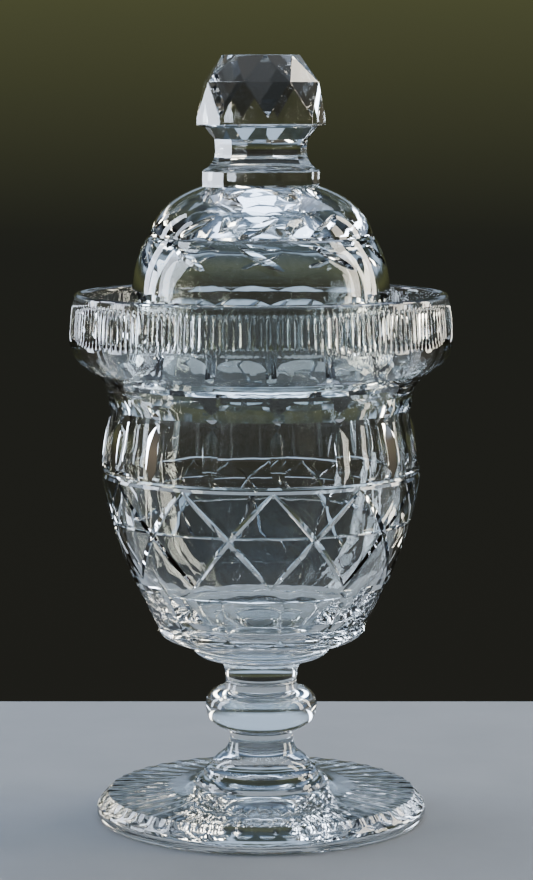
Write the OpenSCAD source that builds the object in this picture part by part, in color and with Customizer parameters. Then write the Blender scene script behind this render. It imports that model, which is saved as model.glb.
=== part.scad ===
// Covered jar in clear cut lead crystal: a footed bowl with a deep gallery rim, and a loose domed
// cover with a faceted finial. Millimetres, +Z up, origin on the surface the foot stands on.
// Each piece is one gather of glass; pieces of one body meet face to face where they were joined hot.

/* [Jar] */
// Height of the lip of the gallery rim above the foot
lip_h = 159.5; // [158:0.5:162]
// Widest diameter of the gallery rim
rim_d = 114.6; // [114:0.2:118]
// Diameter of the bowl at its ring groove
belly_d = 95.6; // [95:0.2:97]
// Outside diameter of the throat between the bowl and the gallery
throat_d = 91.2; // [91:0.2:92]
// Thickness of the rolled lip
lip_t = 2.4; // [2:0.1:2.6]
// Width across the join between the bowl and the disc below it
merese_d = 41.8; // [38:0.2:44]

/* [Stem and foot] */
// Diameter of the ring knop
knop_d = 33.8; // [32:0.2:36]
// Diameter of the foot
foot_d = 100.2; // [98:0.2:104]
// Height of the flat top of the foot where it turns down over the edge
foot_t = 7.7; // [7:0.1:8]
// Diameter of the ground hollow under the foot
pontil_d = 24; // [16:1:30]
// Depth of that hollow
pontil_h = 1; // [0.5:0.1:1.5]

/* [Cover] */
// Diameter of the dome just above its seat
dome_d = 77.4; // [77:0.1:78]
// Diameter of the flange that the cover rests on
flange_d = 88.4; // [88:0.1:88.6]
// Gap left between the flange and the slope it rests on
seat_gap = 0.45; // [0.3:0.05:0.6]
// Height of the top of the dome above the foot
dome_top_h = 191.2; // [190:0.2:192]

/* [Finial] */
// Height of the finial's flat table, which is the height of the whole piece
overall_h = 230; // [228:0.5:232]
// Width of the finial across the corners of its lower girdle
finial_d = 38.6; // [37:0.2:40]
// Width of the neck collar across its corners
collar_d = 35.2; // [34:0.2:35.6]
// Number of sides cut on the finial and its neck
finial_sides = 8; // [6:2:10]
// Turn of the finial's corners from the front, in degrees
finial_turn = 6; // [0:1:22]

/* [Hidden] */
$fn = 96;
bend_steps = 8;      // straight bands in each rounded stretch of a profile

rim_r = rim_d / 2;
belly_r = belly_d / 2;
throat_r = throat_d / 2;
knop_r = knop_d / 2;
foot_r = foot_d / 2;
dome_r = dome_d / 2;
flange_r = flange_d / 2;
finial_r = finial_d / 2;
collar_r = collar_d / 2;
merese_r = merese_d / 2;

// heights of the joins between the pieces
bowl_z = 53.5;
merese_z = 48;
knop_top_z = 39.8;
knop_z = 26.6;
foot_top_z = 20;
finial_z = 205.2;

// radii at those joins
stem_top_r = 12.2;
knop_top_r = 11.2;
knop_foot_r = 9.9;
foot_top_r = 11.2;
finial_foot_r = 14;

// heights on the bowl
belly_z = 106;       // ring groove round the widest part
throat_z = 124;      // step between the bowl's flutes and the throat
rim_z = 146.4;       // widest part of the gallery
floor_z = 59.2;      // inside floor of the bowl

// the cover's seat: the slope inside the gallery, and the flange above it
seat_top = [47.6, 137.6];
seat_mid = [42.2, 134];
seat_foot = [42, 128.5];
flange_z = 134.65 + seat_gap;   // lower outer corner of the flange
flange_foot_z = 132.55 + seat_gap;

// one rounded stretch from a to c, pulled towards b; a itself is left out
function bend(a, b, c, n = bend_steps) =
    [for (i = [1:n]) let (t = i / n) (1 - t) * (1 - t) * a + 2 * t * (1 - t) * b + t * t * c];

// a profile of [radius, height] points turned round the axis
module turned(profile) rotate_extrude() polygon(profile);

// corners of a regular outline at one height, the first one at "turn" degrees from the front
function corners(r, z, turn) =
    [for (i = [0:finial_sides - 1])
        let (a = turn - 90 + i * 360 / finial_sides) [r * cos(a), r * sin(a), z]];

// solid between stacked outlines that all have finial_sides corners; with "twist" the corners of
// two outlines are joined by triangles, otherwise by flat four-sided facets
module faceted(rings, twist = false) {
    n = finial_sides;
    last = len(rings) - 1;
    sides = [for (k = [0:last - 1], i = [0:n - 1])
        let (a = k * n + i, b = k * n + (i + 1) % n, c = a + n, d = b + n)
        each (twist ? [[b, a, c], [b, c, d]] : [[b, a, c, d]])];
    polyhedron(points = [for (ring = rings) each ring],
               faces = concat([[for (i = [0:n - 1]) i]], sides,
                              [[for (i = [n - 1:-1:0]) last * n + i]]));
}

// many-sided ball: a flat table, a crown of facets down to the upper girdle, triangles down to the
// lower girdle, a short upright band, and an undercut in to the neck
module finial() {
    half = 180 / finial_sides;
    girdle_z = overall_h - 8;
    band_top_z = overall_h - 18.4;
    band_z = overall_h - 20.6;
    shelf_z = overall_h - 21.3;
    girdle_r = finial_r * 0.92;
    table_r = finial_r * 0.62;
    shelf_r = finial_r * 0.87;
    color("aliceblue") {
        faceted([corners(finial_foot_r, finial_z, finial_turn), corners(shelf_r, shelf_z, finial_turn),
                 corners(finial_r, band_z, finial_turn), corners(finial_r, band_top_z, finial_turn)]);
        faceted([corners(finial_r, band_top_z, finial_turn),
                 corners(girdle_r, girdle_z, finial_turn + half)], twist = true);
        faceted([corners(girdle_r, girdle_z, finial_turn + half),
                 corners(table_r, overall_h, finial_turn + half)]);
    }
}

// waisted neck cut with as many flat sides as the finial, standing on a square-shouldered collar
module finial_neck() {
    shoulder_z = dome_top_h + 4.4;
    waist = bend([collar_r * 0.98, shoulder_z + 0.5], [finial_foot_r * 0.9, shoulder_z + 2.6],
                 [finial_foot_r, finial_z]);
    profile = concat([[collar_r, dome_top_h], [collar_r, shoulder_z],
                      [collar_r * 0.98, shoulder_z + 0.5]], waist);
    color("lightcyan")
        faceted([for (p = profile) corners(p[0], p[1], finial_turn)]);
}

// hollow dome: a panelled cap above a ring, a bellied wall below it, and a flange turned out at the edge
module cover_dome() {
    cap_r = dome_r - 5.4;
    cap_z = 177.2;
    wall_z = 160;
    inner_r = dome_r - 4;
    outside = concat([[0, dome_top_h], [collar_r + 0.3, dome_top_h]],
        bend([collar_r + 0.3, dome_top_h], [dome_r - 7.9, 186.6], [cap_r, cap_z]),
        [[cap_r, 176.4], [cap_r + 0.9, 175.8]],
        bend([cap_r + 0.9, 175.8], [dome_r - 0.3, 168.5], [dome_r, wall_z]),
        [[dome_r, 150]],
        bend([dome_r, 150], [dome_r, 141.5], [flange_r - 0.5, flange_z + 2.8]),
        [[flange_r, flange_z + 2.3], [flange_r, flange_z], [flange_r - 1.4, flange_foot_z]]);
    inside = concat([[dome_r + 0.9, flange_foot_z]],
        bend([dome_r + 0.9, flange_foot_z], [inner_r, 140], [inner_r, 150], 5),
        [[inner_r - 0.1, wall_z]],
        bend([inner_r - 0.1, wall_z], [inner_r - 0.9, 174.5], [20, 181.6]),
        bend([20, 181.6], [12, 185], [0, 185], 5));
    color("azure") turned(concat(outside, inside));
}

// thick bowl that swells to a ring groove, narrows to a throat and turns out into a deep gallery
module bowl() {
    edge_r = rim_r - 2.45;          // centre of the rolled lip
    lip_r = lip_t / 2;
    hip = [32, 59.4];
    waist = [38.3, 72.2];
    shoulder = [44.9, 91.2];
    cove = [49.8, 135.6];
    outside = concat([[0, bowl_z], [merese_r, bowl_z]],
        bend([merese_r, bowl_z], [31.2, bowl_z + 0.6], hip),
        bend(hip, [35.6, 66], waist, 4),
        bend(waist, [42.2, 81], shoulder),
        bend(shoulder, [belly_r - 0.5, 98], [belly_r, belly_z - 1.6]),
        [[belly_r - 0.6, belly_z], [belly_r, belly_z + 1.6]],
        bend([belly_r, belly_z + 1.6], [belly_r, 117], [throat_r - 0.8, throat_z]),
        [[throat_r, throat_z + 1.8]],
        bend([throat_r, throat_z + 1.8], [throat_r - 0.2, 132.8], cove),
        bend(cove, [rim_r - 0.1, 139.8], [rim_r, rim_z]),
        bend([rim_r, rim_z], [rim_r - 0.4, 152.5], [edge_r + lip_r, lip_h - lip_r - 0.3]),
        [for (a = [15:15:180]) [edge_r + lip_r * cos(a), lip_h - lip_r + lip_r * sin(a)]]);
    inside = concat([[rim_r - 3.4, rim_z + 0.6]],
        bend([rim_r - 3.4, rim_z + 0.6], [rim_r - 3.7, 141.6], seat_top),
        bend(seat_top, seat_mid, seat_foot),
        bend(seat_foot, [41.3, 121], [belly_r - 4.2, 113]),
        bend([belly_r - 4.2, 113], [belly_r - 3.7, 109.5], [belly_r - 3.9, belly_z], 3),
        bend([belly_r - 3.9, belly_z], [41.5, 79], [30, 66]),
        bend([30, 66], [26.5, 60.2], [14, floor_z + 0.2]),
        [[0, floor_z]]);
    color("aliceblue") turned(concat(outside, inside));
}

// thin disc of glass between the bowl and the stem
module bowl_merese() {
    color("paleturquoise") turned(concat(
        [[0, merese_z], [stem_top_r, merese_z], [stem_top_r + 1.7, merese_z + 0.4]],
        bend([stem_top_r + 1.7, merese_z + 0.4], [merese_r - 0.1, merese_z + 1.4],
             [merese_r, bowl_z - 0.9]),
        [[merese_r, bowl_z], [0, bowl_z]]));
}

module upper_stem() {
    color("powderblue") turned(concat(
        [[0, knop_top_z], [knop_top_r, knop_top_z]],
        bend([knop_top_r, knop_top_z], [10, 43.4], [stem_top_r, merese_z]),
        [[0, merese_z]]));
}

// solid ring knop
module stem_knop() {
    mid_z = 34.2;
    color("lightcyan") turned(concat(
        [[0, knop_z], [knop_foot_r, knop_z]],
        bend([knop_foot_r, knop_z], [knop_r, knop_z + 1.8], [knop_r, mid_z], 12),
        bend([knop_r, mid_z], [knop_r, knop_top_z - 1], [knop_top_r, knop_top_z], 12),
        [[0, knop_top_z]]));
}

module lower_stem() {
    color("powderblue") turned(concat(
        [[0, foot_top_z], [foot_top_r, foot_top_z]],
        bend([foot_top_r, foot_top_z], [9.2, 22.6], [knop_foot_r, knop_z]),
        [[0, knop_z]]));
}

// thick flat disc with a stepped hub, a sloping cut edge and a ground hollow underneath
module foot() {
    hub_r = 24.5;
    hub_z = foot_t + 1.2;
    edge_in = 3.4;                  // how far in from the edge the flat top starts to turn down
    steps = [[14.7, 17.6], [17.2, 14.9], [20.3, 12]];     // rim of each step of the hub
    hub = concat([[hub_r, hub_z]],
        bend([hub_r, hub_z], [21, hub_z + 0.3], [steps[2][0], steps[2][1] - 1.6], 4),
        bend([steps[2][0], steps[2][1] - 1.6], steps[2], [steps[1][0] + 0.4, steps[1][1] - 1.8], 4),
        bend([steps[1][0] + 0.4, steps[1][1] - 1.8], steps[1], [steps[0][0] + 0.4, steps[0][1] - 1.6], 4),
        bend([steps[0][0] + 0.4, steps[0][1] - 1.6], steps[0], [foot_top_r, foot_top_z], 5));
    color("azure") turned(concat(
        [[0, pontil_h]], bend([0, pontil_h], [pontil_d / 4, pontil_h], [pontil_d / 2, 0], 5),
        [[foot_r - 1.4, 0]],
        bend([foot_r - 1.4, 0], [foot_r, 0.4], [foot_r, 2.7], 5),
        [[foot_r - 0.6, 4.4], [foot_r - edge_in, foot_t]],
        hub, [[0, foot_top_z]]));
}

finial();
finial_neck();
cover_dome();
bowl();
bowl_merese();
upper_stem();
stem_knop();
lower_stem();
foot();
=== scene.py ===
import math
import bpy
import numpy as np
from mathutils import Matrix, Vector


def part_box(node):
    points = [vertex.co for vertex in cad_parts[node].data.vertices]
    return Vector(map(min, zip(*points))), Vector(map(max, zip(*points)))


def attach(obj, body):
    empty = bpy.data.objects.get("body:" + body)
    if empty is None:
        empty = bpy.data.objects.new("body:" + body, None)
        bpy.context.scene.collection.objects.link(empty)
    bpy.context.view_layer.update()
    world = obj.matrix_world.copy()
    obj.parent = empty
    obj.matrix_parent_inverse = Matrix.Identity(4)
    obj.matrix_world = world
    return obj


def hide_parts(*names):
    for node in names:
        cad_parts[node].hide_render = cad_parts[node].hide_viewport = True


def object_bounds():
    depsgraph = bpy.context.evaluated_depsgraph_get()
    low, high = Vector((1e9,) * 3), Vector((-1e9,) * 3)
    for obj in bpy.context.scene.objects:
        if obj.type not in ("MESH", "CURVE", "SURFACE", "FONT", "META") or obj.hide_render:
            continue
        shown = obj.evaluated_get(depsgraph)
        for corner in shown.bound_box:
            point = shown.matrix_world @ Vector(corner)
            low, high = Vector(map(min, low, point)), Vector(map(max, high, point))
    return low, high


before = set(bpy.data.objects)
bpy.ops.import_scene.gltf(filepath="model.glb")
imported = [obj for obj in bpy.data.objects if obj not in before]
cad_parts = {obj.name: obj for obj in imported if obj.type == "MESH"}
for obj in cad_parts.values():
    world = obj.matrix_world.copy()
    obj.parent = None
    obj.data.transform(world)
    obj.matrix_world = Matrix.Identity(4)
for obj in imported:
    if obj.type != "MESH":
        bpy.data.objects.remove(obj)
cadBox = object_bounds()

mm = 0.001
clean = 0.02 * mm          # points closer than this are one point


def hexColor(text):
    # sRGB hex to the linear values that the shaders take
    parts = [int(text[i:i + 2], 16) / 255 for i in (1, 3, 5)]
    return tuple(p / 12.92 if p <= 0.04045 else ((p + 0.055) / 1.055) ** 2.4 for p in parts) + (1.0,)


def nodeMm(name):
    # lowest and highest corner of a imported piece, in millimetres
    low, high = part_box(name)
    return low / mm, high / mm


def deselectAll():
    if bpy.context.mode != "OBJECT":
        bpy.ops.object.mode_set(mode="OBJECT")
    bpy.ops.object.select_all(action="DESELECT")


def makeActive(piece):
    deselectAll()
    piece.select_set(True)
    bpy.context.view_layer.objects.active = piece


def bend(a, b, c, steps=8):
    # rounded stretch of a profile from a to c, pulled towards b; a itself is left out
    points = []
    for i in range(1, steps + 1):
        t = i / steps
        points.append(tuple((1 - t) ** 2 * a[k] + 2 * t * (1 - t) * b[k] + t * t * c[k] for k in (0, 1)))
    return points


def straight(a, b, steps):
    # even points from a to b, a itself left out, so that a long wall isn't one long face
    return [tuple(a[k] + (b[k] - a[k]) * i / steps for k in (0, 1)) for i in range(1, steps + 1)]


def radiusAt(profile, height):
    # outside radius of a profile at a height: the first stretch that reaches it
    for (r0, z0), (r1, z1) in zip(profile, profile[1:]):
        if min(z0, z1) <= height <= max(z0, z1) and z0 != z1:
            return r0 + (r1 - r0) * (height - z0) / (z1 - z0)
    raise ValueError(f"the profile doesn't reach {height}")


def onSurface(profile, angle, height):
    # a point on a turned surface; the angle runs from the front to the right, in degrees
    r = radiusAt(profile, height)
    a = math.radians(angle)
    return Vector((r * math.sin(a), -r * math.cos(a), height))


def selectWhere(piece, test):
    # selects the vertices whose place in mm passes the test
    data = piece.data
    for part in (data.edges, data.polygons):
        part.foreach_set("select", np.zeros(len(part), bool))
    place = np.zeros(len(data.vertices) * 3)
    data.vertices.foreach_get("co", place)
    place = place.reshape(-1, 3) / mm
    data.vertices.foreach_set("select", test(place[:, 0], place[:, 1], place[:, 2]))
    bpy.context.tool_settings.mesh_select_mode = (True, False, False)


def turnProfile(name, profile, steps):
    # a chain of extruded points, turned round the axis into a closed solid
    deselectAll()
    bpy.ops.mesh.primitive_plane_add(size=mm)
    piece = bpy.context.object
    piece.name = name
    piece.data.name = name
    bpy.ops.object.mode_set(mode="EDIT")
    bpy.ops.mesh.merge(type="CENTER")
    here = (0.0, 0.0)
    for i, (r, z) in enumerate(profile):
        step = ((r - here[0]) * mm, 0, (z - here[1]) * mm)
        if i == 0:
            bpy.ops.transform.translate(value=step)
        else:
            bpy.ops.mesh.extrude_region_move(TRANSFORM_OT_translate={"value": step})
        here = (r, z)
    bpy.ops.object.mode_set(mode="OBJECT")
    lathe = piece.modifiers.new("lathe", "SCREW")
    lathe.steps = steps
    lathe.render_steps = steps
    lathe.use_merge_vertices = True
    lathe.merge_threshold = clean
    makeActive(piece)
    bpy.ops.object.modifier_apply(modifier=lathe.name)
    bpy.ops.object.mode_set(mode="EDIT")
    bpy.ops.mesh.select_all(action="SELECT")
    bpy.ops.mesh.remove_doubles(threshold=clean)
    bpy.ops.mesh.normals_make_consistent(inside=False)
    bpy.ops.object.mode_set(mode="OBJECT")
    return piece


def placeMesh(piece, matrix):
    # puts the object's place into its mesh and leaves the object at the origin
    piece.matrix_world = matrix
    makeActive(piece)
    bpy.ops.object.transform_apply(location=True, rotation=True, scale=True)


def repeatAround(tool, count, firstAngle):
    # copies of a tool, each with its own mesh, evenly round the jar's axis
    copies = []
    for i in range(count):
        copy = tool.copy()
        copy.data = tool.data.copy()
        bpy.context.scene.collection.objects.link(copy)
        copy.matrix_world = Matrix.Rotation(math.radians(firstAngle + i * 360 / count), 4, "Z")
        copies.append(copy)
    bpy.data.objects.remove(tool)
    deselectAll()
    for copy in copies:
        copy.select_set(True)
    bpy.context.view_layer.objects.active = copies[0]
    bpy.ops.object.transform_apply(location=True, rotation=True, scale=True)
    bpy.ops.object.join()
    return bpy.context.object


def grind(piece, tool):
    # takes the tool's shape off the glass, as a cutting wheel does
    cut = piece.modifiers.new("cut", "BOOLEAN")
    cut.operation = "DIFFERENCE"
    cut.solver = "MANIFOLD"
    cut.object = tool
    makeActive(piece)
    bpy.ops.object.modifier_apply(modifier=cut.name)
    bpy.data.objects.remove(tool)


def mitreTool(profile, start, end, depth, halfWidth, endShare=0.25, steps=12):
    # V-edged wheel track over the glass between two (angle, height) places: full depth along the
    # middle, and endShare of it at both ends
    def place(t):
        angle = start[0] + (end[0] - start[0]) * t
        height = start[1] + (end[1] - start[1]) * t
        share = endShare + (1 - endShare) * math.sqrt(math.sin(math.pi * t) + 1e-9)
        return onSurface(profile, angle, height), share

    middle = place(0.5)[0]
    slope = radiusAt(profile, middle.z + 0.5) - radiusAt(profile, middle.z - 0.5)
    outward = Vector((middle.x, middle.y, 0)).normalized()
    normal = (outward - Vector((0, 0, slope))).normalized()
    along = place(1.0)[0] - place(0.0)[0]
    along = (along - normal * along.dot(normal)).normalized()
    side = normal.cross(along)
    proud = depth * 0.6         # the widest part of the wheel's edge stays clear of the glass
    reach = depth + proud
    deselectAll()
    bpy.ops.mesh.primitive_circle_add(vertices=4, radius=1, fill_type="NGON")
    tool = bpy.context.object
    here, share = place(0.0)
    centre = (here + normal * proud * share) * mm
    turn = Matrix((normal * reach * share * mm, side * halfWidth * reach / depth * share * mm, along))
    placeMesh(tool, Matrix.Translation(centre) @ turn.transposed().to_4x4())
    bpy.ops.object.mode_set(mode="EDIT")
    for i in range(1, steps + 1):
        before, centreBefore = share, centre
        here, share = place(i / steps)
        centre = (here + normal * proud * share) * mm
        bpy.ops.mesh.extrude_region_move(TRANSFORM_OT_translate={"value": centre - centreBefore})
        grow = share / before
        bpy.ops.transform.resize(value=(grow, grow, grow), center_override=centre)
    bpy.ops.mesh.select_all(action="SELECT")
    bpy.ops.mesh.normals_make_consistent(inside=False)
    bpy.ops.object.mode_set(mode="OBJECT")
    return tool


def addNode(tree, kind, settings=None, links=None):
    # adds one shader node, sets its values and links its inputs
    made = tree.nodes.new(kind)
    for key, value in (settings or {}).items():
        if key in made.inputs:
            made.inputs[key].default_value = value
        else:
            setattr(made, key, value)
    for key, source in (links or {}).items():
        tree.links.new(source, made.inputs[key])
    return made


def newFinish(name):
    finish = bpy.data.materials.new(name)
    finish.use_nodes = True
    tree = finish.node_tree
    tree.nodes.clear()
    output = addNode(tree, "ShaderNodeOutputMaterial")
    return finish, tree, output


def onPiece(tree):
    # the place on the piece itself, in metres, that the patterns follow
    return addNode(tree, "ShaderNodeTexCoord").outputs["Object"]


# Lead crystal, 24% lead oxide or more: clear and nearly colourless, with a high index that gives
# bright edges and strong bending of whatever lies behind it
crystal = {
    "ior": 1.55,
    "tint": "#f7faf9",
    "hazeMm": 14,            # size of the patches where the polish is thin
    "haziest": 0.05,         # roughness in the middle of such a patch
}


def blownCrystal(name, rippleMm=9.0, rippleDepthMm=0.05, streak=1.0):
    # fire-polished crystal: no tool marks, only the slow ripple of hand-worked glass, so reflections
    # and the view through it waver gently; a streak below 1 draws the ripple out upwards
    finish, tree, output = newFinish(name)
    stretched = addNode(tree, "ShaderNodeMapping", {"Scale": (1, 1, streak)}, {"Vector": onPiece(tree)})
    ripple = addNode(tree, "ShaderNodeTexNoise",
                     {"Scale": 1 / (rippleMm * mm), "Detail": 1.0, "Roughness": 0.4},
                     {"Vector": stretched.outputs["Vector"]})
    bump = addNode(tree, "ShaderNodeBump", {"Strength": 1.0, "Distance": rippleDepthMm * mm},
                   {"Height": ripple.outputs["Fac"]})
    glass = addNode(tree, "ShaderNodeBsdfPrincipled",
                    {"Base Color": hexColor(crystal["tint"]), "Roughness": 0.0, "IOR": crystal["ior"],
                     "Transmission Weight": 1.0},
                    {"Normal": bump.outputs["Normal"]})
    tree.links.new(glass.outputs["BSDF"], output.inputs["Surface"])
    return finish


def cutCrystal(name, rippleMm=5.0, rippleDepthMm=0.02):
    # crystal cut on a stone wheel and polished with putty powder: crisp planes, very slightly wavy,
    # with a faint haze in patches where the polish is thin
    finish, tree, output = newFinish(name)
    place = onPiece(tree)
    ripple = addNode(tree, "ShaderNodeTexNoise",
                     {"Scale": 1 / (rippleMm * mm), "Detail": 2.0, "Roughness": 0.5},
                     {"Vector": place})
    haze = addNode(tree, "ShaderNodeTexNoise",
                   {"Scale": 1 / (crystal["hazeMm"] * mm), "Detail": 3.0, "Roughness": 0.6},
                   {"Vector": place})
    polish = addNode(tree, "ShaderNodeMapRange",
                     {"From Min": 0.45, "From Max": 0.75, "To Min": 0.0, "To Max": crystal["haziest"]},
                     {"Value": haze.outputs["Fac"]})
    bump = addNode(tree, "ShaderNodeBump", {"Strength": 1.0, "Distance": rippleDepthMm * mm},
                   {"Height": ripple.outputs["Fac"]})
    glass = addNode(tree, "ShaderNodeBsdfPrincipled",
                    {"Base Color": hexColor(crystal["tint"]), "IOR": crystal["ior"],
                     "Transmission Weight": 1.0},
                    {"Roughness": polish.outputs["Result"], "Normal": bump.outputs["Normal"]})
    tree.links.new(glass.outputs["BSDF"], output.inputs["Surface"])
    return finish


def fusedJoin():
    # the hidden meeting faces of two gathers joined hot: one mass of glass, so nothing is seen there
    finish, tree, output = newFinish("crystalFusedJoin")
    clear = addNode(tree, "ShaderNodeBsdfTransparent")
    tree.links.new(clear.outputs["BSDF"], output.inputs["Surface"])
    return finish


joinFinish = fusedJoin()


def dress(piece, finish, joins, smoothAngle=12, inner=None):
    # gives the glass to the whole piece and the clear join to its meeting faces, which are the level
    # ones at each join's height and within its radius, in mm; inner is the finish of a hollow's wall
    piece.data.materials.clear()
    piece.data.materials.append(finish)
    piece.data.materials.append(joinFinish)
    if inner:
        piece.data.materials.append(inner)
    for face in piece.data.polygons:
        middle = face.center / mm
        flat = abs(face.normal.z) > 0.999
        reach = math.hypot(middle.x, middle.y)
        onJoin = any(abs(middle.z - z) < 0.01 and reach < r for z, r in joins)
        hollow = inner and middle.x * face.normal.x + middle.y * face.normal.y < -0.05 * reach
        face.material_index = 1 if flat and onJoin else 2 if hollow else 0
    makeActive(piece)
    bpy.ops.object.shade_smooth_by_angle(angle=math.radians(smoothAngle))


def putIn(piece, body, node):
    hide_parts(node)
    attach(piece, body)


bowlSize = {
    "steps": 720,            # four to each comb flute
    "combFlutes": 180,       # fine upright flutes round the gallery
    "combDepth": 0.3,
    "combShares": ((0.8, (1, 3)), (1.0, (2,))),  # share of that depth, and the columns that get it
    "combTop": 157.3,
    "combFoot": 145.0,
    "combRunOut": 1.6,       # length over which a flute loses its depth at each end
    "panels": 15,            # broad flutes above the ring groove
    "panelTurn": 6.0,
    "panelWidth": 24,        # width of the wheel, wider than the panel it leaves
    # lower and upper end of a panel: the height where its radius is read, and its own height
    "panelEnds": ((107.2, 106.8), (124.6, 124.9)),
    "mitres": 11,            # crossing V cuts each way
    "mitreTurn": 4.2,
    "mitreTop": 105.0,
    "mitreFoot": 76.0,
    "mitreDepth": 0.75,
    "mitreHalfWidth": 0.95,
    "baseFacets": 13,
    "baseTurn": 10.0,
    "baseWidth": 22,
    "baseEnds": ((59.6, 59.0), (72.2, 72.2)),
    "baseSink": 0.1,         # how much deeper a facet goes at its foot
}


def bowlProfiles():
    low, high = nodeMm("bowl")
    join = nodeMm("bowl_merese")[1].x
    rim = high.x
    top = high.z
    belly = rim - 9.5
    throat = rim - 11.7
    lip = 1.2
    edge = rim - 2.45
    outside = [(0, low.z), (join * 0.5, low.z), (join, low.z)]
    outside += bend(outside[-1], (31.2, low.z + 0.6), (32, 59.4), 10)
    outside += bend(outside[-1], (35.6, 66), (38.2, 72.0), 8)
    outside += [(38.4, 72.4)]
    outside += bend(outside[-1], (42.2, 81), (44.9, 91.2), 10)
    outside += [(44.7, 91.6), (45.1, 92.0)]
    outside += bend(outside[-1], (belly - 0.5, 98), (belly, 104.8), 6)
    outside += [(belly - 0.5, 105.7), (belly - 0.5, 106.1), (belly, 107.0)]
    outside += bend(outside[-1], (belly, 117), (throat - 0.8, 124), 8)
    outside += [(throat - 0.7, 124.6), (throat, 125.8)]
    outside += bend(outside[-1], (throat - 0.2, 132.8), (49.8, 135.6), 8)
    outside += bend(outside[-1], (rim - 0.1, 139.6), (rim, 144.6), 7)
    comb = [rim, rim, rim, rim - 0.05, rim - 0.15, rim - 0.3, rim - 0.5, rim - 0.75, rim - 0.95,
            rim - 1.1, rim - 1.2]
    levels = [145.0, 145.6, 146.4, 148, 150, 152, 154, 155.8, 156.5, 157.0, 157.4]
    outside += list(zip(comb, levels))
    outside += [(edge + lip * math.cos(math.radians(a)), top - lip + lip * math.sin(math.radians(a)))
                for a in range(10, 181, 17)]
    inside = [(edge - lip, top - lip)]
    inside += straight((edge - lip, top - lip - 0.2), (rim - 3.4, 147), 6)
    inside += bend(inside[-1], (rim - 3.7, 141.6), (47.6, 137.6), 8)
    inside += bend(inside[-1], (42.2, 134), (42, 128.5), 8)
    inside += bend(inside[-1], (41.3, 121), (belly - 4.2, 113), 6)
    inside += bend(inside[-1], (belly - 3.7, 109.5), (belly - 3.9, 106), 3)
    inside += bend(inside[-1], (41.5, 79), (30, 66), 12)
    inside += bend(inside[-1], (26.5, 60.2), (14, 59.4), 6)
    inside += [(7, 59.25), (0, 59.2)]
    return outside, inside


def combFlutes(piece, size, outside):
    # every fourth column of points stays as a ridge; the others are pressed in to make round flutes,
    # which run out at both ends
    rim = max(r for r, z in outside)
    perFlute = size["steps"] // size["combFlutes"]
    span = 2 * math.pi / size["steps"]
    for r, z in outside:
        if r < rim - 2 or not size["combFoot"] < z < size["combTop"]:
            continue
        ends = min(z - size["combFoot"], size["combTop"] - z)
        fade = min(1.0, math.sqrt(ends / size["combRunOut"]))
        for share, columns in size["combShares"]:
            def inColumns(x, y, h, z=z, columns=columns):
                column = np.round(np.arctan2(y, x) / span).astype(int) % perFlute
                return (np.abs(h - z) < 0.02) & (np.hypot(x, y) > rim - 2.2) & np.isin(column, columns)

            selectWhere(piece, inColumns)
            makeActive(piece)
            bpy.ops.object.mode_set(mode="EDIT")
            scale = 1 - size["combDepth"] * share * fade / r
            bpy.ops.transform.resize(value=(scale, scale, 1), center_override=(0, 0, 0))
            bpy.ops.object.mode_set(mode="OBJECT")


def panelTool(low, high, width, thick=3.0, topRamp=0.0, footRamp=0.0):
    # flat wheel face through two (radius, height) points at the front; a ramp says how many mm the
    # cut runs out along the glass for each mm of its depth, which gives the rounded ends
    tall = math.hypot(high[1] - low[1], high[0] - low[0])
    lean = math.atan2(low[0] - high[0], high[1] - low[1])
    deselectAll()
    bpy.ops.mesh.primitive_cube_add(size=1)
    tool = bpy.context.object
    bpy.ops.object.mode_set(mode="EDIT")
    bpy.ops.transform.resize(value=(width * mm, thick * mm, tall * mm))
    bpy.ops.transform.translate(value=(0, -thick / 2 * mm, 0))
    bpy.ops.object.mode_set(mode="OBJECT")
    for side, ramp in ((1, topRamp), (-1, footRamp)):
        if ramp:
            selectWhere(tool, lambda x, y, z: (y < -0.01) & (z * side > 0))
            makeActive(tool)
            bpy.ops.object.mode_set(mode="EDIT")
            bpy.ops.transform.translate(value=(0, 0, side * ramp * thick * mm))
            bpy.ops.object.mode_set(mode="OBJECT")
    middle = Vector((0, -(low[0] + high[0]) / 2, (low[1] + high[1]) / 2)) * mm
    placeMesh(tool, Matrix.Translation(middle) @ Matrix.Rotation(-lean, 4, "X"))
    return tool


def flatEnds(profile, ends, count, sink=0.0):
    # the two ends of a flat whose edges lie on the profile, one of count round the axis, as (radius,
    # height) at its middle
    flat = math.cos(math.radians(180 / count))
    (lowRead, low), (highRead, high) = ends
    return (radiusAt(profile, lowRead) * flat - sink, low), (radiusAt(profile, highRead) * flat, high)


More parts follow.
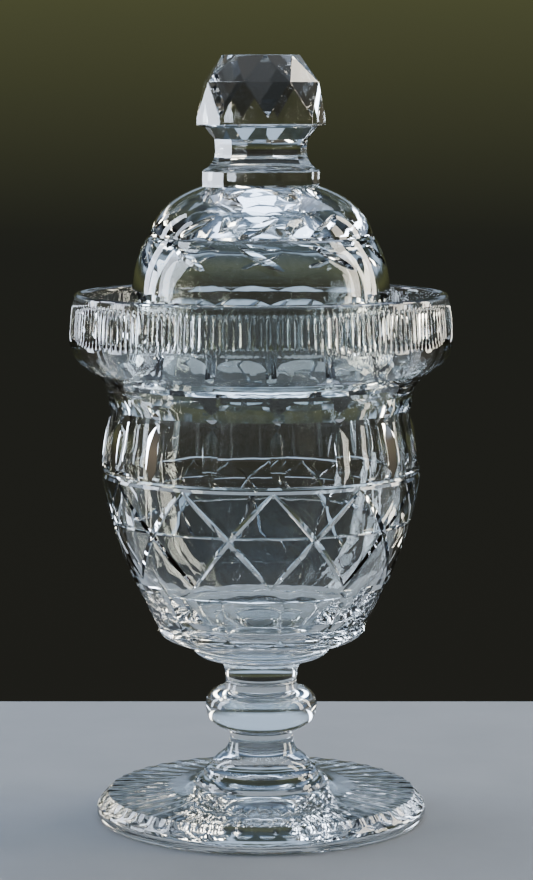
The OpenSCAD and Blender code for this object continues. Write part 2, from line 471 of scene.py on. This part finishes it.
def makeBowl():
    size = bowlSize
    outside, inside = bowlProfiles()
    bowl = turnProfile("crystalBowl", outside + inside, size["steps"])
    combFlutes(bowl, size, outside)

    half = 180 / size["panels"]
    low, high = flatEnds(outside, size["panelEnds"], size["panels"])
    panels = panelTool(low, high, size["panelWidth"], topRamp=2.0)
    grind(bowl, repeatAround(panels, size["panels"], size["panelTurn"] + half))

    pitch = 360 / size["mitres"]
    for way in (1, -1):
        mitre = mitreTool(outside, (0, size["mitreTop"]), (way * pitch, size["mitreFoot"]),
                          size["mitreDepth"], size["mitreHalfWidth"])
        grind(bowl, repeatAround(mitre, size["mitres"], size["mitreTurn"]))

    half = 180 / size["baseFacets"]
    low, high = flatEnds(outside, size["baseEnds"], size["baseFacets"], size["baseSink"])
    facets = panelTool(low, high, size["baseWidth"], footRamp=1.5)
    grind(bowl, repeatAround(facets, size["baseFacets"], size["baseTurn"] + half))

    join = nodeMm("bowl_merese")[1].x
    dress(bowl, cutCrystal("cutLeadCrystalBowl"), [(nodeMm("bowl")[0].z, join)],
          inner=blownCrystal("blownLeadCrystalBowlInside", 7.0, 0.22, 0.3))
    putIn(bowl, "jar", "bowl")


# radii where the pieces between bowl and foot meet
stemSize = {
    "steps": 128,
    "top": 12.2,
    "knopTop": 11.2,
    "knopFoot": 9.9,
    "footTop": 11.2,
}


def makeMerese():
    low, high = nodeMm("bowl_merese")
    edge = high.x
    neck = stemSize["top"]
    profile = [(0, low.z), (neck * 0.5, low.z), (neck, low.z), (neck + 1.7, low.z + 0.4)]
    profile += bend(profile[-1], (edge - 0.1, low.z + 1.4), (edge, high.z - 0.9))
    profile += [(edge, high.z), (edge * 0.5, high.z), (0, high.z)]
    disc = turnProfile("crystalMerese", profile, stemSize["steps"])
    dress(disc, blownCrystal("blownLeadCrystalMerese"), [(low.z, neck), (high.z, edge)], 40)
    putIn(disc, "jar", "bowl_merese")


def makeUpperStem():
    low, high = nodeMm("upper_stem")
    profile = [(0, low.z), (stemSize["knopTop"], low.z)]
    profile += bend(profile[-1], (10, 43.4), (stemSize["top"], high.z), 10)
    profile += [(0, high.z)]
    stem = turnProfile("crystalUpperStem", profile, stemSize["steps"])
    dress(stem, blownCrystal("blownLeadCrystalStem"), [(low.z, 20), (high.z, 20)], 40)
    putIn(stem, "jar", "upper_stem")


def makeKnop():
    low, high = nodeMm("stem_knop")
    edge = high.x
    profile = [(0, low.z), (stemSize["knopFoot"], low.z)]
    profile += bend(profile[-1], (edge, low.z + 1.8), (edge, 34.2), 14)
    profile += bend(profile[-1], (edge, high.z - 1), (stemSize["knopTop"], high.z), 12)
    profile += [(0, high.z)]
    knop = turnProfile("crystalKnop", profile, stemSize["steps"])
    dress(knop, blownCrystal("blownLeadCrystalKnop"), [(low.z, 20), (high.z, 20)], 40)
    putIn(knop, "jar", "stem_knop")


def makeLowerStem():
    low, high = nodeMm("lower_stem")
    profile = [(0, low.z), (stemSize["footTop"], low.z)]
    profile += bend(profile[-1], (9.2, 22.6), (stemSize["knopFoot"], high.z), 8)
    profile += [(0, high.z)]
    stem = turnProfile("crystalLowerStem", profile, stemSize["steps"])
    dress(stem, blownCrystal("blownLeadCrystalLowerStem"), [(low.z, 20), (high.z, 20)], 40)
    putIn(stem, "jar", "lower_stem")


footSize = {
    "steps": 360,            # eight to each flute
    "top": 7.7,              # height of the top face at its outer edge
    "hubRise": 1.6,          # how far it rises to the hub
    "hubRadius": 24.5,
    "slopeIn": 3.4,          # how far in from the edge the top face ends and the sloping edge starts
    "rollIn": 0.9,           # where the sloping edge meets the roll below it: how far in, and its height
    "rollTop": 4.8,
    "flutes": 45,
    "fluteTurn": 2.2,
    "topWheel": 18.0,        # radius of the wheel that cut the top
    "topInner": 28.0,        # where its cuts start
    "topDepth": 0.11,        # their depth there, and at the edge
    "topEdgeDepth": 0.19,
    "topLength": 60.0,       # length of the tool, and the rounding of its ends
    "topRounding": 15.0,
    "edgeWheel": 18.0,
    "edgeDepth": 0.27,
    "edgeLength": 16.0,
    "edgeRounding": 6.0,
    "edgeLift": 1.5,         # how far up the slope the tool stands off the roll
    "toolSide": 0.5,         # width of one side of a round tool
    "toolHeight": 1.6,       # only the lowest part of a round tool is kept
}


def makeFoot():
    size = footSize
    high = nodeMm("foot")[1]
    edge = high.x
    hubZ = size["top"] + size["hubRise"]
    profile = [(0, 1.0), (4, 0.95), (8, 0.6), (12, 0.0), (30, 0.0), (edge - 1.4, 0.0)]
    profile += bend(profile[-1], (edge, 0.4), (edge, 2.7), 6)
    profile += bend(profile[-1], (edge, 3.9), (edge - size["rollIn"], size["rollTop"]), 3)
    profile += straight(profile[-1], (edge - size["slopeIn"], size["top"]), 4)
    profile += straight(profile[-1], (size["hubRadius"], hubZ), 8)
    profile += bend(profile[-1], (21, hubZ + 0.2), (20.3, 10.4), 5)
    profile += bend(profile[-1], (20.2, 12.2), (17.6, 13.0), 5)
    profile += bend(profile[-1], (17.4, 14.9), (15.1, 15.8), 5)
    profile += bend(profile[-1], (14.7, 17.8), (stemSize["footTop"], high.z), 6)
    profile += [(0, high.z)]
    foot = turnProfile("crystalFoot", profile, size["steps"])

    grind(foot, repeatAround(topFlute(edge), size["flutes"], size["fluteTurn"]))
    grind(foot, repeatAround(edgeFlute(edge), size["flutes"], size["fluteTurn"]))
    dress(foot, cutCrystal("cutLeadCrystalFoot"), [(high.z, 20)])
    putIn(foot, "jar", "foot")


def roundedWheel(length, radius, roundEnds):
    # the lowest part of a long round tool lying along Y with rounded ends, its lowest line at the origin
    deselectAll()
    sides = round(2 * math.pi * radius / footSize["toolSide"])
    bpy.ops.mesh.primitive_cylinder_add(vertices=sides, radius=radius * mm, depth=length * mm,
                                        rotation=(math.pi / 2, 0, 0))
    tool = bpy.context.object
    bpy.ops.object.transform_apply(location=False, rotation=True, scale=False)
    bevel = tool.modifiers.new("roundEnds", "BEVEL")
    bevel.width = roundEnds * mm
    bevel.segments = 24
    bevel.limit_method = "ANGLE"
    bevel.angle_limit = math.radians(60)
    makeActive(tool)
    bpy.ops.object.modifier_apply(modifier=bevel.name)
    bpy.ops.object.mode_set(mode="EDIT")
    bpy.ops.mesh.select_all(action="SELECT")
    bpy.ops.transform.translate(value=(0, 0, radius * mm))
    bpy.ops.mesh.select_all(action="SELECT")
    bpy.ops.mesh.bisect(plane_co=(0, 0, footSize["toolHeight"] * mm), plane_no=(0, 0, 1), use_fill=True,
                        clear_outer=True)
    bpy.ops.object.mode_set(mode="OBJECT")
    return tool


def topFlute(edge):
    # lies a little deeper at the edge than at its inner end
    size = footSize
    corner = edge - size["slopeIn"]
    fall = size["hubRise"] / (corner - size["hubRadius"])
    sink = (size["topEdgeDepth"] - size["topDepth"]) / (corner - size["topInner"])
    slope = math.atan(fall + sink)
    rounding = size["topRounding"]
    tool = roundedWheel(size["topLength"], size["topWheel"], rounding)
    # the rounding comes up through the glass this far in front of the straight part of the lowest line
    run = math.sqrt(2 * rounding * size["topDepth"])
    start = size["topInner"] + run
    height = size["top"] + (corner - start) * fall - size["topDepth"]
    along = Vector((0, -math.cos(slope), -math.sin(slope)))
    middle = Vector((0, -start, height)) + along * (size["topLength"] / 2 - rounding)
    placeMesh(tool, Matrix.Translation(middle * mm) @ Matrix.Rotation(slope, 4, "X"))
    return tool


def edgeFlute(edge):
    size = footSize
    slope = math.atan2(size["top"] - size["rollTop"], size["slopeIn"] - size["rollIn"])
    tool = roundedWheel(size["edgeLength"], size["edgeWheel"], size["edgeRounding"])
    # the tool's lower end stops just above the roll of the edge
    end = Vector((0, -(edge - size["rollIn"]), size["rollTop"]))
    along = Vector((0, math.cos(slope), math.sin(slope)))
    away = Vector((0, -math.sin(slope), math.cos(slope)))
    reach = size["edgeLength"] / 2 - size["edgeRounding"] + size["edgeLift"]
    middle = end + along * reach - away * size["edgeDepth"]
    placeMesh(tool, Matrix.Translation(middle * mm) @ Matrix.Rotation(slope, 4, "X"))
    return tool


coverSize = {
    "steps": 360,
    "wall": 38.7,            # radius of the bellied wall
    "glass": 4.0,            # its thickness
    "ringStep": 5.4,         # how far in the cap starts, above the ring
    "collar": 17.6,          # corner radius of the collar
    "turn": 6.0,             # degrees from the front to a corner of the eight-sided pieces
    "sides": 8,
    "flutes": 15,            # broad flutes round the wall
    "fluteTurn": -8.0,
    "fluteRead": 155,        # height where their radius is read
    "fluteFoot": 144,
    "fluteTop": 158.4,
    "fluteWidth": 20,
    "chevrons": 10,
    "chevronTurn": -10.5,
    "armSpan": 20.5,         # degrees round the cover from a chevron's point to its ends
    # the two cuts of a chevron: height at the point, height at the far end, depth, half width
    "arms": ((176.8, 183.6, 1.2, 1.6), (174.8, 168.0, 1.0, 1.3)),
}


def coverProfiles():
    low, high = nodeMm("cover_dome")
    collar = coverSize["collar"]
    wall = coverSize["wall"]
    flange = high.x
    inner = wall - coverSize["glass"]
    cap = wall - coverSize["ringStep"]
    seat = collar * math.cos(math.pi / coverSize["sides"])
    outside = [(0, high.z), (seat, high.z), (collar + 0.3, high.z)]
    outside += bend(outside[-1], (wall - 7.9, 186.6), (cap, 177.3), 14)
    outside += [(cap, 176.5), (wall - 4.5, 175.8)]
    outside += bend(outside[-1], (wall - 0.3, 168.5), (wall, 160), 10)
    outside += straight(outside[-1], (wall, 150), 4)
    outside += bend(outside[-1], (wall, 141.5), (flange - 0.5, 137.9), 6)
    outside += [(flange, 137.4), (flange, 135.1), (flange - 1.4, low.z)]
    inside = [(wall + 0.9, low.z)]
    inside += bend(inside[-1], (inner, 140), (inner, 150), 6)
    inside += straight(inside[-1], (inner - 0.1, 160), 3)
    inside += bend(inside[-1], (inner - 0.9, 174.5), (20, 181.6), 12)
    inside += bend(inside[-1], (12, 185), (0, 185), 6)
    return outside, inside


def octagonReach(angle, corner, turn, sides):
    # distance from the axis to the side of a regular outline, in the direction of angle (radians)
    span = 2 * math.pi / sides
    offset = (angle - turn + span / 2) % span - span / 2
    return corner * math.cos(span / 2) / math.cos(span / 2 - abs(offset))


def makeCoverDome():
    size = coverSize
    outside, inside = coverProfiles()
    high = nodeMm("cover_dome")[1]
    dome = turnProfile("crystalCoverDome", outside + inside, size["steps"])
    seat = size["collar"] * math.cos(math.pi / size["sides"])
    corner = math.radians(size["turn"] - 90)
    for v in dome.data.vertices:        # the join with the collar is eight-sided
        if abs(v.co.z / mm - high.z) < 0.01 and abs(v.co.xy.length / mm - seat) < 0.01:
            reach = octagonReach(math.atan2(v.co.y, v.co.x), size["collar"], corner, size["sides"])
            v.co.xy = v.co.xy.normalized() * reach * mm

    ends = ((size["fluteRead"], size["fluteFoot"]), (size["fluteRead"], size["fluteTop"]))
    fluteFoot, fluteTop = flatEnds(outside, ends, size["flutes"])
    flutes = panelTool(fluteFoot, fluteTop, size["fluteWidth"], topRamp=2.4, footRamp=2.0)
    grind(dome, repeatAround(flutes, size["flutes"], size["fluteTurn"]))

    for first, last, depth, halfWidth in size["arms"]:
        mitre = mitreTool(outside, (0, first), (size["armSpan"], last), depth, halfWidth, endShare=0.2)
        grind(dome, repeatAround(mitre, size["chevrons"], size["chevronTurn"]))

    dress(dome, cutCrystal("cutLeadCrystalCover"), [(high.z, seat)],
          inner=blownCrystal("blownLeadCrystalCoverInside", 7.0, 0.22, 0.3))
    for face in dome.data.polygons:     # the join ends at the collar's outline, not at a circle
        middle = face.center / mm
        if face.material_index == 0 and abs(middle.z - high.z) < 0.01 and face.normal.z > 0.999:
            angle = math.atan2(middle.y, middle.x)
            reach = octagonReach(angle, size["collar"], corner, size["sides"])
            if math.hypot(middle.x, middle.y) < reach:
                face.material_index = 1
    putIn(dome, "cover", "cover_dome")


def facetedColumn(name, levels, turn, sides):
    # a regular prism extruded and resized level by level; levels are (corner radius, height, twist
    # against the level below)
    deselectAll()
    first = levels[0]
    bpy.ops.mesh.primitive_circle_add(vertices=sides, radius=1, fill_type="NGON")
    column = bpy.context.object
    column.name = name
    column.data.name = name
    bpy.ops.object.mode_set(mode="EDIT")
    bpy.ops.transform.resize(value=(first[0] * mm, first[0] * mm, 1))
    bpy.ops.transform.translate(value=(0, 0, first[1] * mm))
    for below, (radius, height, twist) in zip(levels, levels[1:]):
        bpy.ops.mesh.extrude_region_move(TRANSFORM_OT_translate={"value": (0, 0, (height - below[1]) * mm)})
        grow = radius / below[0]
        bpy.ops.transform.resize(value=(grow, grow, 1), center_override=(0, 0, height * mm))
        if twist:
            bpy.ops.transform.rotate(value=-math.radians(twist), orient_axis="Z",
                                     center_override=(0, 0, height * mm))
    bpy.ops.mesh.select_all(action="SELECT")
    bpy.ops.mesh.normals_make_consistent(inside=False)
    bpy.ops.object.mode_set(mode="OBJECT")
    # the circle's first corner stands at the back, so half a turn brings it to the front
    placeMesh(column, Matrix.Rotation(math.radians(turn + 180), 4, "Z"))
    return column


def softenEdges(piece, widthMm, lowest):
    # the narrow rounding that polishing leaves on the cut edges above a height
    selectWhere(piece, lambda x, y, z: z > lowest)
    makeActive(piece)
    bpy.ops.object.mode_set(mode="EDIT")
    bpy.ops.mesh.bevel(offset=widthMm * mm, segments=2, affect="EDGES")
    bpy.ops.object.mode_set(mode="OBJECT")


finialSize = {
    "girdle": 19.3,          # corner radius at the widest
    "foot": 14.0,            # corner radius where it meets the neck
    "shoulder": 4.4,         # height of the neck's collar
    "rounding": 0.12,        # left on the cut edges by polishing
}


def makeFinialNeck():
    low, high = nodeMm("finial_neck")
    collar = coverSize["collar"]
    top = finialSize["foot"]
    shoulder = low.z + finialSize["shoulder"]
    chamfer = (collar * 0.98, shoulder + 0.5)
    waist = bend(chamfer, (top * 0.9, shoulder + 2.6), (top, high.z), 12)
    levels = [(r, z, 0) for r, z in [(collar, low.z), (collar, shoulder), chamfer] + waist]
    neck = facetedColumn("crystalFinialNeck", levels, coverSize["turn"], coverSize["sides"])
    dress(neck, cutCrystal("cutLeadCrystalNeck"), [(low.z, 20), (high.z, 20)], 25)
    putIn(neck, "cover", "finial_neck")


def makeFinial():
    low, high = nodeMm("finial")
    girdle = finialSize["girdle"]
    top = high.z
    half = 180 / coverSize["sides"]
    levels = [(finialSize["foot"], low.z, 0), (girdle * 0.87, top - 21.3, 0), (girdle, top - 20.6, 0),
              (girdle, top - 18.4, 0), (girdle * 0.92, top - 8, half), (girdle * 0.6, top, half)]
    finial = facetedColumn("crystalFinial", levels, coverSize["turn"], coverSize["sides"])
    makeActive(finial)
    bpy.ops.object.mode_set(mode="EDIT")
    bpy.ops.mesh.select_all(action="SELECT")
    # a twisted side becomes two triangles, and the flat sides go back to four corners
    bpy.ops.mesh.quads_convert_to_tris(quad_method="SHORTEST_DIAGONAL", ngon_method="BEAUTY")
    bpy.ops.mesh.tris_convert_to_quads(face_threshold=math.radians(1), shape_threshold=math.radians(180))
    bpy.ops.object.mode_set(mode="OBJECT")
    softenEdges(finial, finialSize["rounding"], low.z + 0.5)
    dress(finial, cutCrystal("cutLeadCrystalFinial", 7.0, 0.01), [(low.z, 20)], 5)
    putIn(finial, "cover", "finial")


print("blowing the bowl and cutting it")
makeBowl()
print("turning the disc, stem and knop")
makeMerese()
makeUpperStem()
makeKnop()
makeLowerStem()
print("making the foot")
makeFoot()
print("making the cover and its finial")
makeCoverDome()
makeFinialNeck()
makeFinial()

studio = {
    "floorWidth": 1.3,
    "floorFront": 0.5,        # how far the floor comes forward of the jar
    "floorBack": 0.17,        # and how far it goes on behind it
    "floorThick": 0.03,
    "floorEdge": 0.004,       # rounding of its edges
    "floorTint": "#969694",
    "floorFleck": "#8b8b89",
    # colours by the height of the direction, from straight down, -1, to straight up, 1
    "behind": ((-1, "#4a4844"), (-0.4, "#403e3a"), (-0.2, "#2c2c28"), (-0.05, "#2d2e29"),
               (0.04, "#55573f"), (0.13, "#3b4039"), (0.18, "#b9cbe2"), (0.25, "#b9cbe2"),
               (0.3, "#454b47"), (0.44, "#3b433f"), (0.58, "#64748a"), (0.85, "#b3c5df")),
    "around": ((-1, "#524f4b"), (-0.1, "#5c5850"), (0.12, "#746c60"), (0.3, "#5c5a55"),
               (0.5, "#687a93"), (0.85, "#acbfda")),
    # the backdrop fades into its surroundings between these two; 1 is straight behind, 0 is the side
    "backFull": 0.8,
    "backGone": 0.2,
    "skyStrength": 1.0,
    # upright boxes at the sides and a broad one above: place, width, height, watts, colour
    "boxes": {
        "leftBox": ((-0.95, 0.08, 0.4), 0.22, 1.0, 6.5, "#e3ecfc"),
        "leftBackBox": ((-0.82, 0.5, 0.4), 0.16, 1.0, 5, "#e3ecfc"),
        "rightBox": ((0.97, 0.03, 0.4), 0.2, 1.0, 6, "#fbf3e4"),
        "rightBackBox": ((0.85, 0.45, 0.4), 0.14, 1.0, 4.5, "#fbf3e4"),
        "topBox": ((0.1, 0.45, 1.0), 0.9, 0.5, 4.5, "#d5e4ff"),
    },
    "lens": 80,
    "sensorHeight": 24,
    "cameraPlace": (0.0016, -0.877, 0.2193),
    "lookDown": 6.78,         # degrees
    "bounces": 32,            # light crosses many faces of the glass before it leaves
    "mirrorBounces": 8,
}


def makeFloor():
    deselectAll()
    bpy.ops.mesh.primitive_cube_add(size=1)
    floor = bpy.context.object
    floor.name = "studioFloor"
    deep = studio["floorFront"] + studio["floorBack"]
    bpy.ops.object.mode_set(mode="EDIT")
    bpy.ops.transform.resize(value=(studio["floorWidth"], deep, studio["floorThick"]))
    bpy.ops.transform.translate(value=(0, studio["floorBack"] - deep / 2, -studio["floorThick"] / 2))
    bpy.ops.mesh.bevel(offset=studio["floorEdge"], segments=4)
    bpy.ops.object.mode_set(mode="OBJECT")
    finish, tree, output = newFinish("pressedPaperBoard")
    # pale card: a matt, faintly mottled surface
    mottle = addNode(tree, "ShaderNodeTexNoise", {"Scale": 1 / (30 * mm), "Detail": 4.0},
                     {"Vector": onPiece(tree)})
    tone = addNode(tree, "ShaderNodeMix", {"data_type": "RGBA"})
    tone.inputs["A"].default_value = hexColor(studio["floorFleck"])
    tone.inputs["B"].default_value = hexColor(studio["floorTint"])
    tree.links.new(mottle.outputs["Fac"], tone.inputs["Factor"])
    board = addNode(tree, "ShaderNodeBsdfPrincipled", {"Roughness": 0.75})
    tree.links.new(tone.outputs["Result"], board.inputs["Base Color"])
    tree.links.new(board.outputs["BSDF"], output.inputs["Surface"])
    floor.data.materials.append(finish)


def makeWorld():
    # dim behind the jar, warmer at the sides and in front of it, and cool soft light from above, so
    # that clear glass reads by its bright edges
    world = bpy.data.worlds.new("softStudio")
    bpy.context.scene.world = world
    world.use_nodes = True
    tree = world.node_tree
    tree.nodes.clear()
    way = addNode(tree, "ShaderNodeTexCoord").outputs["Generated"]
    parts = addNode(tree, "ShaderNodeSeparateXYZ", links={"Vector": way})
    height = addNode(tree, "ShaderNodeMapRange", {"From Min": -1.0, "From Max": 1.0},
                     {"Value": parts.outputs["Z"]})
    tones = []
    for stopList in (studio["behind"], studio["around"]):
        ramp = addNode(tree, "ShaderNodeValToRGB", links={"Fac": height.outputs["Result"]})
        stops = ramp.color_ramp.elements
        stops[1].position = (stopList[-1][0] + 1) / 2
        stops[1].color = hexColor(stopList[-1][1])
        stops[0].color = hexColor(stopList[0][1])
        for z, tint in stopList[1:-1]:
            stops.new((z + 1) / 2).color = hexColor(tint)
        tones.append(ramp)
    around = addNode(tree, "ShaderNodeMapRange",
                     {"From Min": studio["backFull"], "From Max": studio["backGone"]},
                     {"Value": parts.outputs["Y"]})
    tone = addNode(tree, "ShaderNodeMix", {"data_type": "RGBA"})
    tree.links.new(around.outputs["Result"], tone.inputs["Factor"])
    tree.links.new(tones[0].outputs["Color"], tone.inputs["A"])
    tree.links.new(tones[1].outputs["Color"], tone.inputs["B"])
    light = addNode(tree, "ShaderNodeBackground", {"Strength": studio["skyStrength"]},
                    {"Color": tone.outputs["Result"]})
    output = addNode(tree, "ShaderNodeOutputWorld")
    tree.links.new(light.outputs["Background"], output.inputs["Surface"])


def softbox(name, place, aim, wide, tall, power, tint):
    lamp = bpy.data.lights.new(name, "AREA")
    lamp.shape = "RECTANGLE"
    lamp.size = wide
    lamp.size_y = tall
    lamp.energy = power
    lamp.color = hexColor(tint)[:3]
    stand = bpy.data.objects.new(name, lamp)
    bpy.context.scene.collection.objects.link(stand)
    stand.location = place
    stand.rotation_euler = (Vector(aim) - Vector(place)).to_track_quat("-Z", "Y").to_euler()


def makeCamera():
    lens = bpy.data.cameras.new("portraitLens")
    lens.sensor_fit = "VERTICAL"
    lens.sensor_height = studio["sensorHeight"]
    lens.lens = studio["lens"]
    camera = bpy.data.objects.new("portraitCamera", lens)
    bpy.context.scene.collection.objects.link(camera)
    camera.location = studio["cameraPlace"]
    camera.rotation_euler = (math.radians(90 - studio["lookDown"]), 0, 0)
    bpy.context.scene.camera = camera


print("setting the floor, lights and camera")
makeFloor()
makeWorld()
jarMiddle = (0, 0, (cadBox[0][2] + cadBox[1][2]) / 2)
for boxName, (place, wide, tall, power, tint) in studio["boxes"].items():
    softbox(boxName, place, jarMiddle, wide, tall, power, tint)
bpy.context.scene.view_settings.look = "AgX - Medium High Contrast"
makeCamera()
cycles = bpy.context.scene.cycles
cycles.max_bounces = studio["bounces"]
cycles.transmission_bounces = studio["bounces"]
cycles.transparent_max_bounces = studio["bounces"]
cycles.glossy_bounces = studio["mirrorBounces"]
